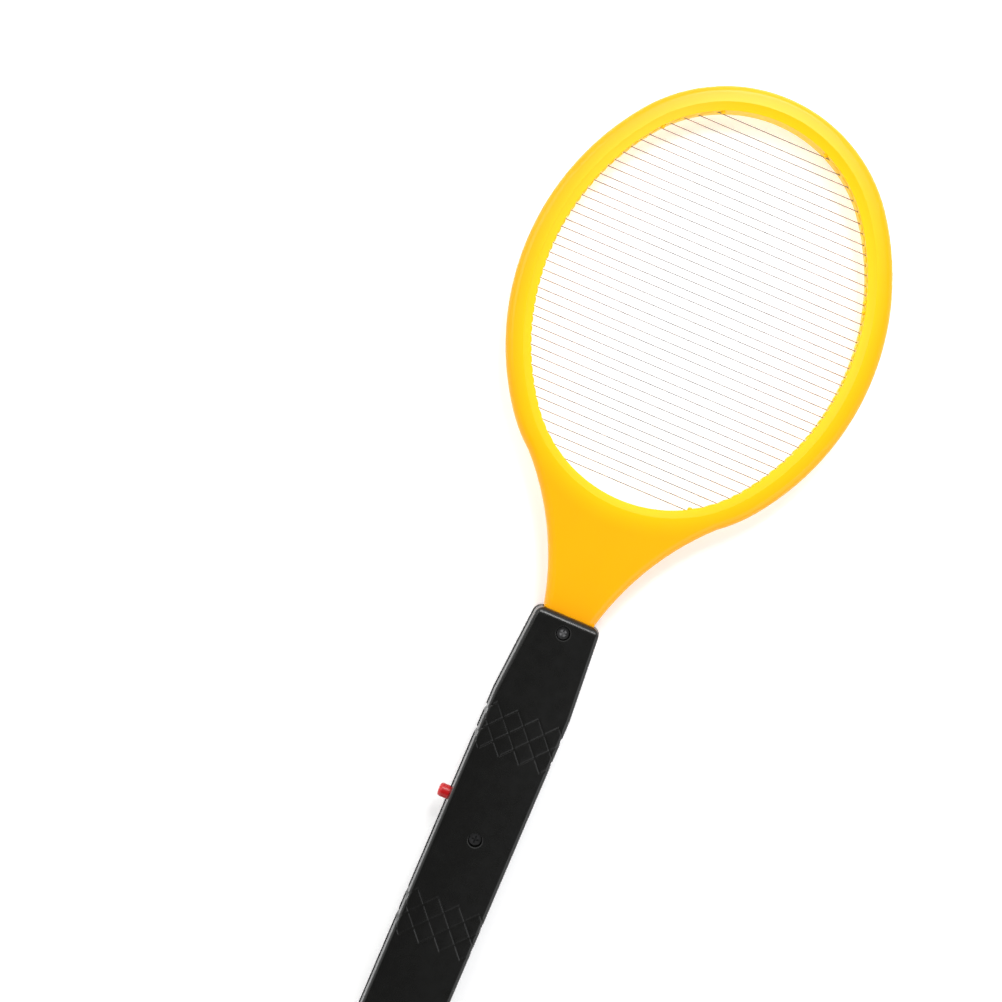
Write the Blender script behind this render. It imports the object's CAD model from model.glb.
"""Electric fly swatter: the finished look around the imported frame.

The frame holds every rigid part in place. This file dresses those parts, builds the finer meshes
that stand for the handle shells, the springs and the cells, and sets up the studio.
Shapes are drawn in millimetres and scaled to metres when the mesh is made. Finishes and the studio
are in metres.
"""

import logging
import math
from dataclasses import dataclass, field
from enum import Enum

import bpy
import numpy as np
from mathutils import Matrix, Vector

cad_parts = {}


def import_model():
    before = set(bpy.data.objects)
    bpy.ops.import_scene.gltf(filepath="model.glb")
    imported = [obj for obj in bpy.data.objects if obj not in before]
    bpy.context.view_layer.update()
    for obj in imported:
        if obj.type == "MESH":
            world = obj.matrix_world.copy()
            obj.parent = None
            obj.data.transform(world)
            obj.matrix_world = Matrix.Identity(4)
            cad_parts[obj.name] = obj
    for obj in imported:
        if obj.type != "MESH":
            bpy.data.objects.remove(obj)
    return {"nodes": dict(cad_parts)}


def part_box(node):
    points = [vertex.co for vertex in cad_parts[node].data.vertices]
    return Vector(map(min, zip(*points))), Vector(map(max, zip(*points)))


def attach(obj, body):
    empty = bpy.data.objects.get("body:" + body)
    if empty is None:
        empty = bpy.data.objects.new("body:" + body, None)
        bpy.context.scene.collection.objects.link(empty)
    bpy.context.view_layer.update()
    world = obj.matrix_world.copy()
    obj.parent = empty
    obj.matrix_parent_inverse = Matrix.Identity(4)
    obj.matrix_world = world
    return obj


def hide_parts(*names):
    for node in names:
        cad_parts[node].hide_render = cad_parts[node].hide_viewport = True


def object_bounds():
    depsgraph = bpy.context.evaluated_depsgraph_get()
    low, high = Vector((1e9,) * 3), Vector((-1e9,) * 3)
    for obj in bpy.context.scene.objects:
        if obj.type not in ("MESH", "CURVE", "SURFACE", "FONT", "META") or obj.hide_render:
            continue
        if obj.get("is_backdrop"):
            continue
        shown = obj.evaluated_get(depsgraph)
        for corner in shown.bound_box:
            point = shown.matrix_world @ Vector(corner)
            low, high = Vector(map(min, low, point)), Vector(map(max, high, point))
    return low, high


log = logging.getLogger("swatter")

MM = 0.001
Colour = tuple[float, float, float]
Point = tuple[float, float, float]
Faces = list[tuple[int, ...]]


def srgb(red: int, green: int, blue: int) -> Colour:
    """Turns a display colour into the linear colour that a shader takes.

    Args:
        red: Red from 0 to 255.
        green: Green from 0 to 255.
        blue: Blue from 0 to 255.

    Returns:
        The linear colour.
    """
    out = []
    for part in (red, green, blue):
        share = part / 255
        out.append(share / 12.92 if share <= 0.04045 else ((share + 0.055) / 1.055) ** 2.4)
    return (out[0], out[1], out[2])


# ---------------------------------------------------------------- shader tools


def opaque(value: object) -> object:
    """Adds the alpha that a socket wants to a colour, and leaves anything else as it is."""
    return (*value, 1.0) if isinstance(value, tuple) else value


class Value:
    """A node socket that takes part in sums: each operator adds one Math node."""

    def __init__(self, graph: "Graph", socket: bpy.types.NodeSocket) -> None:
        """Keeps the graph and the socket."""
        self.graph = graph
        self.socket = socket

    def _math(self, operation: str, first: object, second: object = None) -> "Value":
        """Adds a Math node.

        Args:
            operation: The node's operation.
            first: A Value or a number.
            second: A Value, a number, or None.

        Returns:
            The result.
        """
        values = {0: first} if second is None else {0: first, 1: second}
        return self.graph.add("ShaderNodeMath", {"operation": operation}, values)

    def __add__(self, other: object) -> "Value":
        """Sum."""
        return self._math("ADD", self, other)

    __radd__ = __add__

    def __sub__(self, other: object) -> "Value":
        """Difference."""
        return self._math("SUBTRACT", self, other)

    def __rsub__(self, other: object) -> "Value":
        """Difference with this value on the right."""
        return self._math("SUBTRACT", other, self)

    def __mul__(self, other: object) -> "Value":
        """Product."""
        return self._math("MULTIPLY", self, other)

    def __abs__(self) -> "Value":
        """Size without its sign."""
        return self._math("ABSOLUTE", self)

    def root(self) -> "Value":
        """Square root."""
        return self._math("SQRT", self)

    def fraction(self) -> "Value":
        """The part after the decimal point."""
        return self._math("FRACT", self)

    def step(self, low: float, high: float) -> "Value":
        """Rises smoothly from nothing at low to one at high."""
        settings = {"interpolation_type": "SMOOTHSTEP"}
        return self.graph.add("ShaderNodeMapRange", settings, {0: self, 1: low, 2: high})


class Graph:
    """The node tree of one material or of the world."""

    def __init__(self, name: str, owner: bpy.types.ID | None = None) -> None:
        """Makes the material, unless an owner is given, and empties the tree."""
        self.owner = owner or bpy.data.materials.new(name)
        self.owner.use_nodes = True
        self.tree = self.owner.node_tree
        self.tree.nodes.clear()

    def add(
        self, kind: str, settings: dict[str, object], values: dict[object, object], out: object = 0
    ) -> Value:
        """Adds one node.

        Args:
            kind: The node's type.
            settings: Properties of the node, set first.
            values: Numbers, colours or Values for its inputs, by name or place.
            out: Name or place of the output that is handed back.

        Returns:
            The chosen output.
        """
        node = self.tree.nodes.new(kind)
        for key, setting in settings.items():
            setattr(node, key, setting)
        for key, value in values.items():
            if isinstance(value, Value):
                self.tree.links.new(value.socket, node.inputs[key])
            else:
                node.inputs[key].default_value = value
        return Value(self, node.outputs[out])

    def place(self) -> Value:
        """Position on the object, in metres."""
        return self.add("ShaderNodeTexCoord", {}, {}, "Object")

    def marks(self) -> tuple[Value, Value, Value]:
        """Flow marks, mottle and fine specks of a moulded surface."""
        flow = self.noise(24, 3, 0.6, (1, 0.4, 1)).step(0.3, 0.7)
        return flow, self.noise(220, 3, 0.6), self.noise(2600, 2, 0.6)

    def axis(self, name: str) -> Value:
        """One coordinate of the position on the object."""
        return self.add("ShaderNodeSeparateXYZ", {}, {0: self.place()}, name)

    def noise(
        self, scale: float, detail: float = 2.0, rough: float = 0.5, stretch: Point = (1, 1, 1)
    ) -> Value:
        """Even noise over the surface.

        Args:
            scale: Cycles for each metre.
            detail: Octaves.
            rough: How strong the fine octaves are.
            stretch: Scale along each axis before the noise.

        Returns:
            Noise from 0 to 1.
        """
        stretched = self.add(
            "ShaderNodeVectorMath", {"operation": "MULTIPLY"}, {0: self.place(), 1: stretch}
        )
        values = {"Vector": stretched, "Scale": scale, "Detail": detail, "Roughness": rough}
        return self.add("ShaderNodeTexNoise", {}, values, "Fac")

    def edge(self, low: float, high: float) -> Value:
        """One on sharp outward edges and nothing elsewhere."""
        point = self.add("ShaderNodeNewGeometry", {}, {}, "Pointiness")
        return point.step(low, high)

    def mix(self, share: object, first: object, second: object) -> Value:
        """Mixes two colours.

        Args:
            share: How much of the second.
            first: The first colour or Value.
            second: The second colour or Value.

        Returns:
            The mixed colour.
        """
        values = {0: share, 6: opaque(first), 7: opaque(second)}
        return self.add("ShaderNodeMix", {"data_type": "RGBA"}, values, 2)

    def bump(self, height: Value, distance: float) -> Value:
        """Turns a height into a normal.

        Args:
            height: Height from 0 to 1.
            distance: Height of a full step, in metres.

        Returns:
            The normal.
        """
        values = {"Height": height, "Distance": distance, "Strength": 1.0}
        return self.add("ShaderNodeBump", {}, values, "Normal")

    def finish(self, **inputs: object) -> bpy.types.Material:
        """Adds the surface shader and the output.

        Args:
            inputs: Sockets of the surface shader, with _ for a space.

        Returns:
            The finished material.
        """
        values = {key.replace("_", " "): opaque(value) for key, value in inputs.items()}
        shader = self.add("ShaderNodeBsdfPrincipled", {}, values)
        output = self.tree.nodes.new("ShaderNodeOutputMaterial")
        self.tree.links.new(shader.socket, output.inputs["Surface"])
        return self.owner


# ---------------------------------------------------------------- finishes


@dataclass(frozen=True)
class MouldedPlastic:
    """Injection-moulded plastic with soft flow marks, a fine grain and rubbed edges."""

    name: str
    base: Colour
    deep: Colour
    rubbed: Colour
    roughness: float
    grain: float = 0.00002
    gloss: float = 0.5

    def material(self) -> bpy.types.Material:
        """Builds the material."""
        g = Graph(self.name)
        flow, mottle, specks = g.marks()
        tone = g.mix(flow * 0.6 + mottle * 0.3, self.base, self.deep)
        tone = g.mix(g.edge(0.52, 0.6) * 0.35, tone, self.rubbed)
        rough = self.roughness + (mottle - 0.5) * 0.12 + (flow - 0.5) * 0.06
        normal = g.bump(specks * 0.7 + mottle * 0.3, self.grain)
        return g.finish(Base_Color=tone, Roughness=rough, Normal=normal, Specular_IOR_Level=self.gloss)


@dataclass(frozen=True)
class FrameMoulding:
    """Moulded oval frame: the thin lip round the opening lets light through and looks brighter."""

    name: str
    base: Colour
    deep: Colour
    lip: Colour
    middle: float
    half_width: float
    half_height: float
    reach: float = 0.15
    roughness: float = 0.32
    gloss: float = 0.26
    grain: float = 0.00001

    def material(self) -> bpy.types.Material:
        """Builds the material."""
        g = Graph(self.name)
        across = g.axis("X") * (1 / self.half_width)
        along = (g.axis("Y") - self.middle) * (1 / self.half_height)
        outward = (across * across + along * along).root()
        flow, mottle, specks = g.marks()
        tone = g.mix(flow * 0.5 + mottle * 0.3, self.base, self.deep)
        tone = g.mix(1 - outward.step(0.97, 1 + self.reach), tone, self.lip)
        rough = self.roughness + (mottle - 0.5) * 0.08
        normal = g.bump(specks * 0.7 + mottle * 0.3, self.grain)
        return g.finish(Base_Color=tone, Roughness=rough, Normal=normal, Specular_IOR_Level=self.gloss)


@dataclass(frozen=True)
class SpringSteelWire:
    """Drawn steel wire, dull in the middle and tinted brown towards the frame."""

    name: str
    reach: float = 0.055

    def material(self) -> bpy.types.Material:
        """Builds the material."""
        g = Graph(self.name)
        ends = abs(g.axis("X")).step(0.3 * self.reach, self.reach)
        draw = g.noise(900, 2, 0.6, (0.2, 1, 1))
        spots = g.noise(160, 3, 0.6).step(0.5, 0.8)
        strand = g.noise(260, 1, 0.5, (0.02, 1, 1)).step(0.35, 0.65)
        steel = g.mix(draw * 0.5 + strand * 0.5, srgb(84, 78, 76), srgb(128, 120, 117))
        tinted = g.mix(ends * 0.4 + spots * 0.2, steel, srgb(150, 104, 84))
        return g.finish(
            Base_Color=tinted, Metallic=0.3, Roughness=0.36 + draw * 0.2, Normal=g.bump(draw, 0.00001)
        )


@dataclass(frozen=True)
class PlatedMetal:
    """Plated sheet or wire with rolling marks and dull patches."""

    name: str
    base: Colour
    dull: Colour
    roughness: float
    along: Point = (1, 0.08, 1)

    def material(self) -> bpy.types.Material:
        """Builds the material."""
        g = Graph(self.name)
        marks = g.noise(3000, 2, 0.6, self.along)
        patches = g.noise(320, 3, 0.6).step(0.45, 0.75)
        tone = g.mix(patches * 0.7 + marks * 0.2, self.base, self.dull)
        rough = self.roughness + patches * 0.15 + (marks - 0.5) * 0.1
        return g.finish(Base_Color=tone, Metallic=1.0, Roughness=rough, Normal=g.bump(marks, 0.000008))


@dataclass(frozen=True)
class WornScrew:
    """Blackened screws, with the plating worn bright in the middle of one head."""

    name: str
    place: float
    radius: float = 0.0019

    def material(self) -> bpy.types.Material:
        """Builds the material."""
        g = Graph(self.name)
        across, along = g.axis("X"), g.axis("Y") - self.place
        away = (across * across + along * along).root()
        turned = g.noise(2200, 2, 0.6)
        worn = 1 - away.step(0.7 * self.radius, self.radius)
        black = g.mix(turned, srgb(30, 30, 31), srgb(16, 16, 17))
        tone = g.mix(worn * (0.6 + turned * 0.4), black, srgb(128, 128, 130))
        return g.finish(
            Base_Color=tone, Metallic=worn * 0.4, Roughness=0.42 + turned * 0.15,
            Normal=g.bump(turned, 0.00002),
        )


@dataclass(frozen=True)
class BoardLaminate:
    """Green solder mask over copper tracks, with tinned pads."""

    name: str

    def material(self) -> bpy.types.Material:
        """Builds the material."""
        g = Graph(self.name)
        across = (g.axis("X") * 400).fraction()
        along = (g.axis("Y") * 140 + g.noise(60, 1) * 0.6).fraction()
        tracks = across.step(0.4, 0.46) * along.step(0.1, 0.16)
        weave = g.noise(1600, 2)
        tone = g.mix(tracks * 0.6, srgb(16, 70, 38), srgb(38, 112, 60))
        tone = g.mix(weave * 0.25, tone, srgb(120, 150, 80))
        return g.finish(Base_Color=tone, Roughness=0.32 + weave * 0.15, Normal=g.bump(tracks, 0.00004))


@dataclass(frozen=True)
class Coated:
    """A dipped, moulded or wound small part: two tones, grain and optional bands along Y."""

    name: str
    base: Colour
    deep: Colour
    roughness: float
    bands: float = 0.0
    band: Colour = (0.0, 0.0, 0.0)
    grain: float = 0.00002

    def material(self) -> bpy.types.Material:
        """Builds the material."""
        g = Graph(self.name)
        mottle = g.noise(600, 3, 0.6)
        fine = g.noise(4200, 2, 0.6)
        tone = g.mix(mottle, self.base, self.deep)
        height = fine
        if self.bands:
            stripe = (g.axis("Y") * self.bands).fraction().step(0.55, 0.62)
            tone = g.mix(stripe, tone, self.band)
            height = fine * 0.5 + stripe * 0.5
        rough = self.roughness + (mottle - 0.5) * 0.15
        return g.finish(Base_Color=tone, Roughness=rough, Normal=g.bump(height, self.grain))


@dataclass(frozen=True)
class CellSleeve:
    """Printed sleeve of a dry cell: a plain wide field and one narrow band, with no marks."""

    name: str
    field_tone: Colour
    band_tone: Colour
    split: float

    def material(self) -> bpy.types.Material:
        """Builds the material."""
        g = Graph(self.name)
        along = g.axis("Y")
        band = along.step(self.split, self.split + 0.0004)
        scuff = g.noise(500, 3, 0.65, (1, 0.3, 1)).step(0.55, 0.8)
        foil = g.noise(90, 2)
        tone = g.mix(band, self.field_tone, self.band_tone)
        tone = g.mix(scuff * 0.25 + foil * 0.15, tone, srgb(190, 196, 190))
        return g.finish(Base_Color=tone, Roughness=0.28 + scuff * 0.3, Metallic=0.25, Coat_Weight=0.4)


YELLOW = FrameMoulding(
    "yellow_moulding", srgb(246, 168, 2), srgb(243, 162, 1), srgb(252, 196, 3),
    middle=0.1295, half_width=0.0739, half_height=0.0939,
)
BLACK = MouldedPlastic(
    "black_moulding", srgb(17, 17, 16), srgb(13, 13, 12), srgb(34, 34, 33), 0.27, grain=0.000012, gloss=0.4
)
RED = MouldedPlastic("red_moulding", srgb(205, 22, 28), srgb(176, 12, 18), srgb(235, 90, 88), 0.34)
WHITE = MouldedPlastic("white_moulding", srgb(226, 224, 216), srgb(210, 206, 196), srgb(240, 240, 236), 0.4)
WIRE = SpringSteelWire("grid_wire_steel")
NICKEL = PlatedMetal("contact_nickel", srgb(205, 203, 196), srgb(160, 156, 146), 0.26)
BOARD = BoardLaminate("green_laminate")
FERRITE = Coated("ferrite", srgb(52, 52, 54), srgb(36, 36, 38), 0.55)
WINDING = Coated("winding_tape", srgb(226, 180, 70), srgb(196, 140, 40), 0.45, 2500, srgb(172, 110, 32))
EPOXY = Coated("black_epoxy", srgb(24, 24, 26), srgb(14, 14, 15), 0.4, 330, srgb(150, 150, 148))
CARBON_FILM = Coated("carbon_film", srgb(206, 172, 118), srgb(190, 152, 98), 0.38, 620, srgb(120, 44, 24))
RED_DIP = Coated("red_dip", srgb(168, 42, 30), srgb(138, 28, 20), 0.22, grain=0.00006)
YELLOW_FILM = Coated("yellow_film", srgb(226, 178, 44), srgb(206, 156, 30), 0.3)
RED_SLEEVE = Coated("red_sleeve", srgb(196, 26, 24), srgb(160, 16, 16), 0.4)
BLACK_SLEEVE = Coated("black_sleeve", srgb(28, 28, 28), srgb(16, 16, 16), 0.42)


class Finishes:
    """Builds each finish once, puts it on parts and pieces, and reports each of them."""

    def __init__(self) -> None:
        """Starts with nothing built."""
        self.built: dict[str, bpy.types.Material] = {}

    def put(self, obj: bpy.types.Object, finish: object) -> None:
        """Gives an object one finish.

        Args:
            obj: The object.
            finish: One of the finish classes.
        """
        if finish.name not in self.built:
            self.built[finish.name] = finish.material()
        obj.data.materials.clear()
        obj.data.materials.append(self.built[finish.name])
        log.info("%s: %s, %d faces", obj.name, finish.name, len(obj.data.polygons))


# ---------------------------------------------------------------- mesh tools


@dataclass
class Form:
    """Points in millimetres and the faces between them."""

    points: list[Point] = field(default_factory=list)
    faces: Faces = field(default_factory=list)

    def add(self, points: list[Point], faces: Faces) -> "Form":
        """Adds points with faces that count from their own first point."""
        start = len(self.points)
        self.points.extend(points)
        self.faces.extend(tuple(i + start for i in face) for face in faces)
        return self

    def loft(self, rings: list[list[Point]]) -> "Form":
        """Skins closed rings of equal length and turning direction, and closes both ends."""
        n = len(rings[0])
        points = [p for ring in rings for p in ring]
        faces: Faces = []
        for k in range(len(rings) - 1):
            for i in range(n):
                a, b = k * n + i, k * n + (i + 1) % n
                faces.append((a, b, b + n, a + n))
        faces.append(tuple(reversed(range(n))))
        faces.append(tuple(range((len(rings) - 1) * n, len(rings) * n)))
        return self.add(points, faces)

    def box(self, low: Point, high: Point) -> "Form":
        """Adds a closed box between two corners."""
        rings = [
            [(low[0], low[1], z), (high[0], low[1], z), (high[0], high[1], z), (low[0], high[1], z)]
            for z in (low[2], high[2])
        ]
        return self.loft(rings)

    def turned(
        self, origin: Point, axis: str, profile: list[tuple[float, float]], steps: int = 64
    ) -> "Form":
        """Adds a closed turned solid.

        Args:
            origin: Where the profile's zero stands.
            axis: X, Y or Z, with a minus sign to turn it round.
            profile: Pairs of distance along the axis and radius.
            steps: Sides of each ring.

        Returns:
            This form.
        """
        sign = -1 if axis.startswith("-") else 1
        name = axis[-1]
        rings = []
        for along, radius in profile:
            ring = []
            for i in range(steps):
                a = 2 * math.pi * i / steps * sign
                c, s, t = radius * math.cos(a), radius * math.sin(a), along * sign
                local = {"X": (t, c, s), "Y": (s, t, c), "Z": (c, s, t)}[name]
                ring.append((origin[0] + local[0], origin[1] + local[1], origin[2] + local[2]))
            rings.append(ring)
        return self.loft(rings)

    def object(self, name: str) -> bpy.types.Object:
        """Makes a Blender object in metres and links it to the scene."""
        mesh = bpy.data.meshes.new(name)
        mesh.from_pydata([(x * MM, y * MM, z * MM) for x, y, z in self.points], [], self.faces)
        mesh.validate()
        obj = bpy.data.objects.new(name, mesh)
        bpy.context.scene.collection.objects.link(obj)
        return obj


class Cut(Enum):
    """How one solid changes another."""

    ADD = "UNION"
    TAKE = "DIFFERENCE"


def combine(obj: bpy.types.Object, other: bpy.types.Object, how: Cut) -> None:
    """Adds one solid to another, or takes it away, and removes the second.

    Args:
        obj: The solid that is changed.
        other: The tool.
        how: Which of the two.
    """
    modifier = obj.modifiers.new("combine", "BOOLEAN")
    modifier.operation = how.value
    modifier.object = other
    modifier.solver = "MANIFOLD"
    apply_all(obj)
    bpy.data.objects.remove(other)


def apply_all(obj: bpy.types.Object) -> None:
    """Turns the result of every modifier into the object's own mesh."""
    graph = bpy.context.evaluated_depsgraph_get()
    graph.update()
    mesh = bpy.data.meshes.new_from_object(obj.evaluated_get(graph))
    obj.modifiers.clear()
    obj.data = mesh


def smooth(obj: bpy.types.Object, angle: float = 32.0) -> None:
    """Shades the mesh smooth except across edges sharper than an angle in degrees."""
    obj.data.polygons.foreach_set("use_smooth", [True] * len(obj.data.polygons))
    obj.data.set_sharp_from_angle(angle=math.radians(angle))


def soften(obj: bpy.types.Object, width: float, angle: float = 40.0, segments: int = 2) -> None:
    """Rounds the edges sharper than an angle.

    Args:
        obj: The object.
        width: Width of the rounding in millimetres.
        angle: Least angle that is rounded, in degrees.
        segments: Steps across the rounding.
    """
    bevel = obj.modifiers.new("soft_edges", "BEVEL")
    bevel.width = width * MM
    bevel.segments = segments
    bevel.limit_method = "ANGLE"
    bevel.angle_limit = math.radians(angle)
    bevel.use_clamp_overlap = True
    bevel.harden_normals = True


def settle(
    obj: bpy.types.Object, finishes: Finishes, finish: object, body: str, slot: str, *nodes: str
) -> None:
    """Dresses a new piece, fixes it to its body and says what it stands for.

    Args:
        obj: The new piece.
        finishes: The store of finishes.
        finish: Its finish.
        body: The body that it rides on.
        slot: The material slot that it takes its finish from.
        nodes: The parts of the frame that it stands for.
    """
    finishes.put(obj, finish)
    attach(obj, body)
    if nodes:
        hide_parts(*nodes)


def centre(node: str) -> Vector:
    """Middle of a part's box, in millimetres."""
    low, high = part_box(node)
    return (low + high) / 2 / MM


# ---------------------------------------------------------------- the head


@dataclass
class Head:
    """The two halves of the oval frame and the two grid wires between them."""

    finishes: Finishes
    nodes: dict[str, bpy.types.Object]
    ring_width: float = 11.6
    strands: int = 42
    pitch: float = 4.24
    shift: float = 0.7
    height: float = 211.0
    gap: float = 1.1
    proud: float = 0.5
    rooted: float = 0.8
    thick: float = 1.9
    staked: tuple[tuple[int, int], ...] = ((0, -1), (4, -1), (0, 1), (13, 1), (14, 1), (41, 1))
    bead: tuple[tuple[float, float], ...] = (
        (0, 0.5), (0, 1.05), (0.9, 1.1), (1.5, 0.95), (1.95, 0.6), (2.1, 0.2))

    def __post_init__(self) -> None:
        """Works out the opening, an oval of four arcs, from the head's box."""
        low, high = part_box("head_front")
        width = (high.x - low.x) / MM
        self.middle = high.y / MM - self.height / 2
        slack = (self.height - width) / 2
        self.end_shift, self.side_shift = 1.5 * slack, 2 * slack
        self.end_inner = self.height / 2 - self.end_shift - self.ring_width
        self.side_inner = width / 2 + self.side_shift - self.ring_width

    def edge(self, y: float, outward: float = 0.0) -> float:
        """Half width of the opening at a place along the swatter.

        Args:
            y: The place.
            outward: How far outside the opening's edge.

        Returns:
            The half width.
        """
        v = abs(y - self.middle)
        r_end, r_side = self.end_inner + outward, self.side_inner + outward
        if v > self.end_shift + r_end * 0.6:
            return math.sqrt(max(r_end**2 - (v - self.end_shift) ** 2, 0.0))
        return math.sqrt(r_side**2 - v**2) - self.side_shift

    def strand_y(self, i: int) -> float:
        """Place of a strand, counted from the top."""
        return self.middle + self.shift + ((self.strands - 1) / 2 - i) * self.pitch

    def tooth(self, form: Form, side: int, y_low: float, y_high: float) -> None:
        """Adds one rounded tooth on the opening's edge between two strands.

        Args:
            form: The form that it is added to.
            side: 1 for the right, -1 for the left.
            y_low: Its lower end.
            y_high: Its upper end.
        """
        steps, bulge = 8, []
        for k in range(steps + 1):
            share = k / steps
            y = y_low + (y_high - y_low) * share
            rise = self.proud * (1 - abs(2 * share - 1) ** 3)
            bulge.append((side * (self.edge(y) - rise), y))
        back = [(side * (self.edge(y) + self.rooted), y) for y in (y_high, y_low)]
        outline = bulge + back if side < 0 else list(reversed(bulge + back))
        flat = self.thick - 0.4
        levels = ((-self.thick, 0.25), (-flat, 0.0), (flat, 0.0), (self.thick, 0.25))
        rings = [[(x + side * inset, y, z) for x, y in outline] for z, inset in levels]
        form.loft(rings)

    def comb(self) -> None:
        """Builds the teeth that space the strands on the opening's edge."""
        form = Form()
        for i in range(self.strands - 1):
            high, low = self.strand_y(i) - self.gap / 2, self.strand_y(i + 1) + self.gap / 2
            for side in (-1, 1):
                self.tooth(form, side, low, high)
        obj = form.object("strand_comb")
        smooth(obj, 40)
        settle(obj, self.finishes, YELLOW, "swatter", "yellow_plastic")

    def stakes(self) -> None:
        """Builds the small melted beads that lock some strand ends."""
        form = Form()
        for i, side in self.staked:
            y = self.strand_y(i) + 0.9
            x = side * (self.edge(y) - 0.1)
            form.turned((x, y, 0.6), "Z", list(self.bead), 20)
        obj = form.object("strand_stakes")
        smooth(obj, 50)
        settle(obj, self.finishes, YELLOW, "swatter", "yellow_plastic")

    def build(self) -> None:
        """Dresses both halves and both wires and adds the fine teeth."""
        self.comb()
        self.stakes()
        looks = {"head_front": (28, YELLOW), "head_rear": (28, YELLOW),
                 "wire_live": (60, WIRE), "wire_ground": (60, WIRE)}
        for name, (angle, finish) in looks.items():
            smooth(self.nodes[name], angle)
            self.finishes.put(self.nodes[name], finish)


# ---------------------------------------------------------------- the handle


@dataclass(frozen=True)
class GripBand:
    """Rows of crowned lozenges pressed into the shells, with notches in the side edges."""

    down: float
    width: float = 10.0
    height: float = 11.2
    counts: tuple[int, ...] = (4, 3, 4)
    depth: float = 0.18
    line: float = 0.45
    crown: float = 0.05
    notch_depth: float = 1.3
    notch_height: float = 3.4

    def length(self) -> float:
        """Length of the band along the handle."""
        return self.height * (len(self.counts) + 1) / 2

    def relief(self, x: np.ndarray, y: np.ndarray, top: float) -> np.ndarray:
        """Depth pressed into the surface.

        Args:
            x: Places across the handle.
            y: Places along the handle.
            top: Where the handle's top is.

        Returns:
            Depths, none below zero.
        """
        half_w, half_h = self.width / 2, self.height / 2
        across = half_w * half_h / math.hypot(half_w, half_h)
        depth = np.zeros_like(x)
        for row, count in enumerate(self.counts):
            y_mid = top - self.down - (row + 1) * half_h
            for i in range(count):
                x_mid = (i - (count - 1) / 2) * self.width
                share = np.abs(x - x_mid) / half_w + np.abs(y - y_mid) / half_h
                gap = np.abs(share - 1) * across
                line = self.depth * np.clip(1 - gap / self.line, 0, 1) ** 0.7
                inside = np.where(share < 1, self.crown * share**2, 0)
                depth = np.maximum(depth, np.maximum(line, inside))
        return depth

    def notch(self, y: np.ndarray, top: float) -> np.ndarray:
        """Depth of the side notches.

        Args:
            y: Places along the handle.
            top: Where the handle's top is.

        Returns:
            Depths, none below zero.
        """
        depth = np.zeros_like(y)
        for row in (1, 3):
            away = np.abs(y - (top - self.down - row * self.height / 2))
            ramp = np.clip((self.notch_height / 2 - away) / (self.notch_height / 6), 0, 1)
            depth = np.maximum(depth, self.notch_depth * ramp)
        return depth


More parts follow.
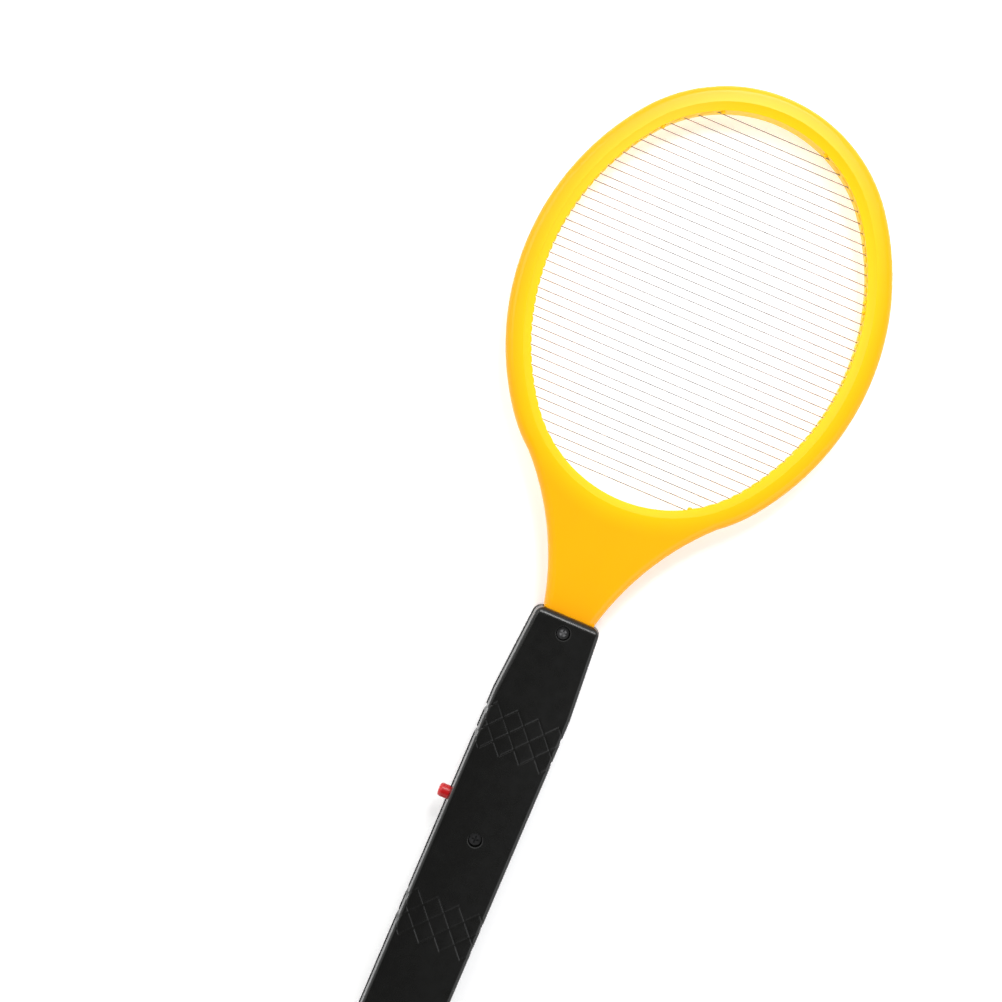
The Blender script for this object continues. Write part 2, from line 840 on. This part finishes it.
@dataclass
class Shell:
    """One half of the handle: an outer skin with relief, an inner skin and the rim between them."""

    name: str
    front: bool
    top: float
    butt: float
    half_width: float
    half_thick: float
    bands: list[GripBand]
    notched: list[GripBand]
    top_half: float = 16.0
    flare: float = 43.0
    edge_round: float = 1.7
    draft: float = 0.8
    end_round: float = 3.5
    butt_round: float = 5.0
    wall: float = 2.0
    ledge: float = 0.35
    ledge_height: float = 1.6
    chamfer: float = 0.25
    fine: float = 0.3

    def stations(self) -> list[float]:
        """Places along the handle where the section is drawn, closer in the bands and at the ends."""
        length = self.top - self.butt
        places = {0.0, length, self.flare}
        for k in range(10):
            eased = 1 - math.cos(math.pi / 2 * k / 9)
            places.update((self.end_round * eased, length - self.butt_round * eased))
        for band in self.notched:
            steps = int((band.length() + 2) / self.fine)
            places.update(band.down - 1 + k * self.fine for k in range(steps + 1))
        coarse = 4.0
        for k in range(int(length / coarse)):
            spot = k * coarse + coarse / 2
            if min(abs(spot - p) for p in places) > coarse / 2:
                places.add(spot)
        return sorted(places)

    def sizes(self, down: float, inset: float) -> tuple[float, float, float]:
        """Half width, half thickness and edge rounding of the section.

        Args:
            down: Distance from the handle's top.
            inset: Distance inward from the outer skin.

        Returns:
            The three sizes.
        """
        length = self.top - self.butt
        share = min(down / self.flare, 1.0)
        plan = self.top_half + (self.half_width - self.top_half) * share
        near_top, near_butt = down, length - down

        def pulled(near: float, r: float) -> float:
            """How far a rounding of radius r pulls the skin in, near an end."""
            near = max(near, 0.0)
            return r - math.sqrt(r * r - (r - near) ** 2) if near < r else 0.0

        pull_z = max(pulled(near_top, self.end_round), pulled(near_butt, self.end_round))
        pull_x = max(pulled(near_top, self.end_round), pulled(near_butt, self.butt_round))
        edge = max(self.edge_round - pull_z * 0.3 - inset * 0.8, 0.6)
        return plan - pull_x - inset, self.half_thick - pull_z - inset, edge

    def section(
        self, down: float, inset: float, flat: int, arc: int
    ) -> list[tuple[float, float, float, float]]:
        """Half section from the left parting edge over the face to the right one.

        Args:
            down: Distance from the handle's top.
            inset: Distance inward from the outer skin, 0 for the skin itself.
            flat: Points across half of the flat face.
            arc: Points round each edge.

        Returns:
            Points x and z with the outward direction x and z.
        """
        w, t, r = self.sizes(down, inset)
        outer = inset == 0
        foot = w - self.ledge if outer and self.front else w
        head = w - self.draft
        half: list[tuple[float, float, float, float]] = []
        if outer:
            half += [(w - self.chamfer, 0.0, 0.7, 0.0), (w, self.chamfer, 1.0, 0.0)]
            half += [(w, self.ledge_height, 1.0, 0.0), (foot, self.ledge_height + 0.15, 1.0, 0.0)]
        else:
            half.append((w, 0.0, 1.0, 0.0))
        for k in range(1, 4):
            share = k / 4
            rise = self.ledge_height + (t - r - self.ledge_height) * share
            half.append((foot + (head - foot) * share, rise, 1.0, 0.0))
        for k in range(arc + 1):
            a = math.pi / 2 * k / arc
            half.append((head - r + r * math.cos(a), t - r + r * math.sin(a), math.cos(a), math.sin(a)))
        for k in range(1, flat + 1):
            half.append(((head - r) * (1 - k / flat), t, 0.0, 1.0))
        left = [(-x, z, -nx, nz) for x, z, nx, nz in half]
        return left[:-1] + [half[-1]] + list(reversed(half[:-1]))

    def skin(self, inset: float, flat: int, arc: int) -> np.ndarray:
        """Grid of points of one skin.

        Args:
            inset: Distance inward from the outer skin.
            flat: Points across half of the flat face.
            arc: Points round each edge.

        Returns:
            An array of stations by columns by x, y and z.
        """
        length = self.top - self.butt
        rows = []
        for down in self.stations():
            inner_down = inset + down * (length - 2 * inset) / length
            section = np.array(self.section(inner_down, inset, flat, arc))
            y = np.full(len(section), self.top - inner_down)
            x, z, nx, nz = section.T
            if inset == 0:
                depth = np.zeros_like(x)
                for band in self.bands:
                    depth = np.maximum(depth, band.relief(x, y, self.top))
                depth *= np.clip((nz - 0.12) / 0.3, 0, 1)
                x, z = x - nx * depth, z - nz * depth
                for band in self.notched:
                    limit = self.half_width - band.notch(y, self.top)
                    x = np.clip(x, -limit, limit)
            rows.append(np.stack([x, y, z if self.front else -z], axis=1))
        return np.array(rows)

    def base(self) -> bpy.types.Object:
        """The plain closed shell, before anything is added to it or cut from it."""
        outer = self.skin(0.0, 52, 12)
        inner = self.skin(self.wall, 5, 6)
        n_rows, n_out, n_in = outer.shape[0], outer.shape[1], inner.shape[1]
        shift = n_rows * n_out
        faces: Faces = []

        def oriented(face: tuple[int, ...], keep: bool) -> tuple[int, ...]:
            """Turns a face over unless it is kept."""
            return face if keep else tuple(reversed(face))

        for j in range(n_rows - 1):
            for i in range(n_out - 1):
                a = j * n_out + i
                faces.append(oriented((a, a + 1, a + n_out + 1, a + n_out), self.front))
            for i in range(n_in - 1):
                a = shift + j * n_in + i
                faces.append(oriented((a, a + 1, a + n_in + 1, a + n_in), not self.front))
            for o, i, flip in ((0, 0, False), (n_out - 1, n_in - 1, True)):
                a, b = j * n_out + o, shift + j * n_in + i
                faces.append(oriented((a, a + n_out, b + n_in, b), self.front != flip))
        last_out, last_in = (n_rows - 1) * n_out, shift + (n_rows - 1) * n_in
        ends = (
            (range(n_out), False), (range(last_out, last_out + n_out), True),
            (range(shift, shift + n_in), True), (range(last_in, last_in + n_in), False),
            ((0, shift, shift + n_in - 1, n_out - 1), True),
            ((last_out, last_in, last_in + n_in - 1, last_out + n_out - 1), False),
        )
        for loop, keep in ends:
            faces.append(oriented(tuple(loop), self.front == keep))
        points = [tuple(p) for p in np.concatenate([outer.reshape(-1, 3), inner.reshape(-1, 3)]).tolist()]
        return Form(points, faces).object(self.name)

    def plate(self, form: Form, y0: float, y1: float, z0: float) -> None:
        """Adds a wall across the shell that keeps to its inner section.

        Args:
            form: The form that it is added to.
            y0: Near face of the wall.
            y1: Far face of the wall.
            z0: Height where the wall starts.
        """
        section = self.section(self.top - (y0 + y1) / 2, self.wall / 2, 3, 8)
        outline: list[tuple[float, float]] = []
        for x, z, _, _ in section:
            spot = (x, max(z, z0))
            if not outline or math.dist(spot, outline[-1]) > 0.01:
                outline.append(spot)
        sign = 1 if self.front else -1
        rings = [[(x, y, z * sign) for x, z in outline] for y in (y0, y1)]
        form.loft(rings)


@dataclass
class Handle:
    """The two shells of the grip with their screws."""

    finishes: Finishes
    nodes: dict[str, bpy.types.Object]
    band_one: GripBand = GripBand(47.6)
    band_two: GripBand = GripBand(139.0)
    recess_radius: float = 3.25
    recess_depth: float = 4.5
    boss_radius: float = 4.25
    shank_radius: float = 1.55
    head_radius: float = 2.8
    neck_half: float = 12.9
    neck_thick: float = 5.9
    button_radius: float = 3.3
    tongue: float = 22.0
    door_half: float = 14.5
    door_depth: float = 2.11
    rail_half: float = 15.4
    rail_low: float = 1.9
    rail_high: float = 3.3

    def __post_init__(self) -> None:
        """Reads the places that the frame sets."""
        low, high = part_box("handle_upper")
        self.top, self.butt = high.y / MM, low.y / MM
        self.half_width, self.half_thick = high.x / MM, high.z / MM
        screws_low, screws_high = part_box("handle_screws")
        self.screw_places = (screws_high.y / MM - self.head_radius, screws_low.y / MM + self.head_radius)
        self.button_y = centre("push_button").y
        self.bay_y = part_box("contact_plate")[1].y / MM
        self.door_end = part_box("battery_door")[1].y / MM

    def insides(self, shell: Shell) -> Form:
        """Bosses, ribs and the wall between the cells and the circuit.

        Args:
            shell: The shell that they belong to.

        Returns:
            The form of all of them.
        """
        form = Form()
        sign = 1 if shell.front else -1
        low_y, high_y = self.screw_places[1], self.screw_places[0]
        reach = self.half_thick - 1
        hug = self.neck_thick - 0.3
        for y, z in ((high_y, hug), (low_y, 0.0)):
            form.turned((0, y, sign * (z + reach) / 2), "Z", [
                (-(reach - z) / 2, self.boss_radius), ((reach - z) / 2, self.boss_radius)], 48)
        shell.plate(form, self.top - self.tongue - 1, self.top - self.tongue + 1, hug)
        shell.plate(form, self.bay_y, self.bay_y + 2, 0.0)
        return form

    def openings(self, shell: Shell) -> Form:
        """Everything that is cut out of a shell.

        Args:
            shell: The shell.

        Returns:
            The form of all the cutters.
        """
        form = Form()
        thick, low_y, high_y = self.neck_thick, self.screw_places[1], self.screw_places[0]
        form.box((-self.neck_half, self.top - 3, -thick), (self.neck_half, self.top + 1, thick))
        form.turned((-self.half_width - 1, self.button_y, 0), "X", [
            (0, self.button_radius + 0.9), (1.0, self.button_radius + 0.25), (1.3, self.button_radius),
            (4, self.button_radius)])
        face = self.half_thick
        for y in (high_y, low_y):
            if shell.front:
                form.turned((0, y, face), "Z", [
                    (-face - 2, self.shank_radius), (-self.recess_depth, self.shank_radius),
                    (-self.recess_depth, self.recess_radius), (-0.35, self.recess_radius),
                    (0.02, self.recess_radius + 0.4), (1, self.recess_radius + 0.4)])
            else:
                form.turned((0, y, 0), "Z", [(-9, self.shank_radius), (1, self.shank_radius)], 32)
        if not shell.front:
            far = self.door_end + 0.2
            form.box((-self.door_half, self.butt - 1, -face - 1),
                     (self.door_half, far, self.door_depth - face))
            form.box((-self.rail_half, self.butt - 1, self.rail_low - face),
                     (self.rail_half, far, self.rail_high - face))
        return form

    def build(self) -> None:
        """Builds both shells and dresses the screws."""
        sides = (("grip_shell_front", True, "handle_upper"), ("grip_shell_back", False, "handle_lower"))
        both = [self.band_one, self.band_two]
        size = (self.top, self.butt, self.half_width, self.half_thick)
        for name, front, node in sides:
            shell = Shell(name, front, *size, both if front else [self.band_one], both)
            obj = shell.base()
            combine(obj, self.insides(shell).object("insides"), Cut.ADD)
            combine(obj, self.openings(shell).object("openings"), Cut.TAKE)
            smooth(obj, 34)
            settle(obj, self.finishes, BLACK, "swatter", "black_plastic", node)
        screws = self.nodes["handle_screws"]
        smooth(screws)
        soften(screws, 0.12)
        self.finishes.put(screws, WornScrew("screw_steel", self.screw_places[0] * MM))


@dataclass
class Circuit:
    """The push button, its switch, and the board with its parts and four leads."""

    finishes: Finishes
    nodes: dict[str, bpy.types.Object]

    def build(self) -> None:
        """Dresses every part from the button to the leads."""
        finishes = {
            "push_button": RED, "switch_plunger": WHITE, "switch_body": EPOXY,
            "circuit_board": BOARD, "transformer_core": FERRITE, "transformer_winding": WINDING,
            "transistor": EPOXY, "resistors": CARBON_FILM, "rectifier_diodes": EPOXY,
            "multiplier_capacitors": RED_DIP, "storage_capacitor": YELLOW_FILM, "lead_live": RED_SLEEVE,
            "lead_ground": BLACK_SLEEVE, "lead_battery_positive": RED_SLEEVE,
            "lead_battery_negative": BLACK_SLEEVE,
        }
        for name, finish in finishes.items():
            smooth(self.nodes[name])
            self.finishes.put(self.nodes[name], finish)
        rounded = ("multiplier_capacitors", "storage_capacitor", "transformer_core", "transformer_winding")
        for name in rounded:
            soften(self.nodes[name], 0.35, segments=3)


@dataclass
class BatteryBay:
    """Two dry cells, their contacts and springs, and the sliding door."""

    finishes: Finishes
    nodes: dict[str, bpy.types.Object]
    loops: float = 4.0
    wire: float = 0.4
    wide: float = 4.0
    narrow: float = 2.0
    length: float = 5.0
    band_share: float = 0.28

    def spring(self, name: str, node: str, cell: str, y: float, way: int) -> None:
        """Builds a tapered coil of round wire with closed ground ends.

        Args:
            name: Name of the piece.
            node: The part of the frame that it stands for.
            cell: The cell that it stands in line with.
            y: Where the wide end stands.
            way: 1 or -1, the direction along Y in which it narrows.
        """
        x, _, z = centre(cell)
        sides, per_loop = 12, 40
        steps = int(self.loops * per_loop)
        rings = []
        for s in range(steps + 1):
            share = s / steps
            eased = share * share * (3 - 2 * share) * 0.5 + share * 0.5
            along = self.wire + (self.length - 2 * self.wire) * eased
            radius = self.wide - self.wire / 2 + (self.narrow - self.wide) * share
            turn = 2 * math.pi * s / per_loop
            ring = []
            for k in range(sides):
                a = 2 * math.pi * k / sides
                reach = radius + self.wire * math.cos(a)
                ring.append((x + reach * math.cos(turn), y + way * (along + self.wire * math.sin(a)),
                             z + way * reach * math.sin(turn)))
            rings.append(ring)
        obj = Form().loft(rings).object(name)
        smooth(obj, 50)
        settle(obj, self.finishes, NICKEL, "swatter", "contact_nickel", node)

    def cell(self, node: str, way: str, sleeve: CellSleeve) -> None:
        """Builds one cell as a steel can with a printed sleeve round it.

        Args:
            node: The part of the frame that it stands for.
            way: Y or -Y, the direction in which its nub points.
            sleeve: The sleeve's finish.
        """
        low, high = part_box(node)
        middle = centre(node)
        radius = (high.x - low.x) / 2 / MM
        length = (high.y - low.y) / MM
        start = low.y / MM if way == "Y" else high.y / MM
        inner = radius - 0.25
        can = [
            (0.25, 2.0), (0.0, 3.2), (0.0, inner - 1.2), (0.25, inner - 0.4), (0.6, inner),
            (length - 1.9, inner), (length - 1.5, inner - 0.5), (length - 1.45, 4.6), (length - 1.15, 3.9),
            (length - 1.1, 2.75), (length - 0.25, 2.7), (length, 2.45), (length, 0.6),
        ]
        wrap = [
            (0.35, inner - 0.9), (0.2, radius - 0.9), (0.35, radius - 0.3), (0.8, radius),
            (length - 2.1, radius), (length - 1.5, radius - 0.35), (length - 1.25, radius - 1.0),
            (length - 1.35, radius - 1.5), (length - 1.6, inner - 0.9),
        ]
        layers = (
            ("_can", can, NICKEL, "contact_nickel", [node]), ("_sleeve", wrap, sleeve, "cell_wrap", []),
        )
        for tail, profile, finish, slot, nodes in layers:
            obj = Form().turned((middle.x, start, middle.z), way, profile, 96).object(node + tail)
            smooth(obj, 34)
            settle(obj, self.finishes, finish, "swatter", slot, *nodes)

    def build(self) -> None:
        """Builds the cells and springs and dresses the rest."""
        plate_y, bridge_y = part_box("spring_plate")[0].y / MM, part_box("bridge_plate")[1].y / MM
        self.spring("spring_at_partition", "contact_spring", "cell_right", plate_y, -1)
        self.spring("spring_at_butt", "bridge_spring", "cell_left", bridge_y, 1)
        low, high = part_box("cell_left")
        band = (high.y - low.y) * self.band_share
        green, dark = srgb(40, 108, 74), srgb(26, 30, 30)
        self.cell("cell_left", "Y", CellSleeve("cell_sleeve_left", dark, green, high.y - band))
        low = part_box("cell_right")[0]
        self.cell("cell_right", "-Y", CellSleeve("cell_sleeve_right", green, dark, low.y + band))
        for name in ("contact_plate", "spring_plate", "bridge_plate"):
            self.finishes.put(self.nodes[name], NICKEL)
        door = self.nodes["battery_door"]
        smooth(door)
        soften(door, 0.15)
        self.finishes.put(door, BLACK)


# ---------------------------------------------------------------- the studio


@dataclass
class Studio:
    """A pale floor, soft lights and the camera that looks straight down on the swatter."""

    floor_z: float
    turn: float = 23.1
    middle: tuple[float, float] = (-0.0493, 0.0138)
    frame_width: float = 0.4606
    distance: float = 0.62
    sensor: float = 36.0
    lift: float = 0.25
    tent_tone: Colour = (1.15, 1.15, 1.15)
    open_tone: Colour = (0.05, 0.05, 0.05)

    def floor(self) -> None:
        """Lays the floor."""
        reach = 3000.0
        z = self.floor_z / MM
        obj = Form([(-reach, -reach, z), (reach, -reach, z), (reach, reach, z), (-reach, reach, z)],
                   [(0, 1, 2, 3)]).object("floor")
        g = Graph("floor_paper")
        soft = g.noise(40, 2)
        tone = g.mix(soft, srgb(253, 253, 253), srgb(250, 250, 251))
        paper = g.finish(
            Base_Color=tone, Roughness=0.9, Emission_Color=(1.0, 1.0, 1.0), Emission_Strength=self.lift)
        obj.data.materials.append(paper)
        obj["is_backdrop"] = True

    def area(self, name: str, place: Point, aim: Point, size: float, power: float, tint: Colour) -> None:
        """Hangs a soft square light.

        Args:
            name: Name of the light.
            place: Where it hangs.
            aim: What it points at.
            size: Its side in metres.
            power: Its power in watts.
            tint: Its colour.
        """
        data = bpy.data.lights.new(name, "AREA")
        data.size, data.energy, data.color = size, power, tint
        obj = bpy.data.objects.new(name, data)
        obj.location = place
        obj.rotation_euler = (Vector(aim) - Vector(place)).to_track_quat("-Z", "Y").to_euler()
        bpy.context.scene.collection.objects.link(obj)

    def tent(self, world: bpy.types.World) -> None:
        """Surrounds the set with a pale tent that is open and dark straight above.

        Args:
            world: The scene's world.
        """
        g = Graph("tent", world)
        way = g.add("ShaderNodeTexCoord", {}, {}, "Generated")
        height = g.add("ShaderNodeSeparateXYZ", {}, {0: way}, "Z")
        tone = g.mix(height.step(0.55, 0.85), self.tent_tone, self.open_tone)
        light = g.add("ShaderNodeBackground", {}, {"Color": tone})
        output = g.tree.nodes.new("ShaderNodeOutputWorld")
        g.tree.links.new(light.socket, output.inputs["Surface"])

    def build(self) -> None:
        """Sets up floor, lights, world and camera."""
        self.floor()
        self.area("key", (-0.9, 0.5, 1.5), (0, 0, 0), 0.9, 12.0, (1.0, 0.99, 0.97))
        self.area("fill", (1.1, -0.3, 1.5), (0, 0, 0), 1.2, 9.0, (0.97, 0.98, 1.0))
        self.area("crown", (0.0, 0.56, 0.6), (0, 0.2, 0), 0.26, 3.3, (1.0, 1.0, 1.0))
        world = bpy.data.worlds.new("studio")
        bpy.context.scene.world = world
        self.tent(world)
        camera = bpy.data.cameras.new("camera")
        camera.sensor_width = self.sensor
        camera.lens = self.sensor * self.distance / self.frame_width
        obj = bpy.data.objects.new("camera", camera)
        obj.matrix_world = Matrix.Translation((*self.middle, self.distance)) @ Matrix.Rotation(
            math.radians(self.turn), 4, "Z")
        bpy.context.scene.collection.objects.link(obj)
        bpy.context.scene.camera = obj
        bpy.context.scene.view_settings.view_transform = "Standard"
        log.info("studio ready")


def corners(box: object) -> list[list[float]]:
    """The lowest and highest corner of a box as plain lists."""
    low, high = box
    return [[float(v) for v in low], [float(v) for v in high]]


def main() -> None:
    """Builds the whole scene."""
    logging.basicConfig(level=logging.INFO, format="%(message)s")
    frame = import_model()
    cad_box = corners(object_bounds())
    nodes = frame["nodes"]
    finishes = Finishes()
    Studio(cad_box[0][2]).build()
    Head(finishes, nodes).build()
    Handle(finishes, nodes).build()
    Circuit(finishes, nodes).build()
    BatteryBay(finishes, nodes).build()


if __name__ == "__main__":
    main()
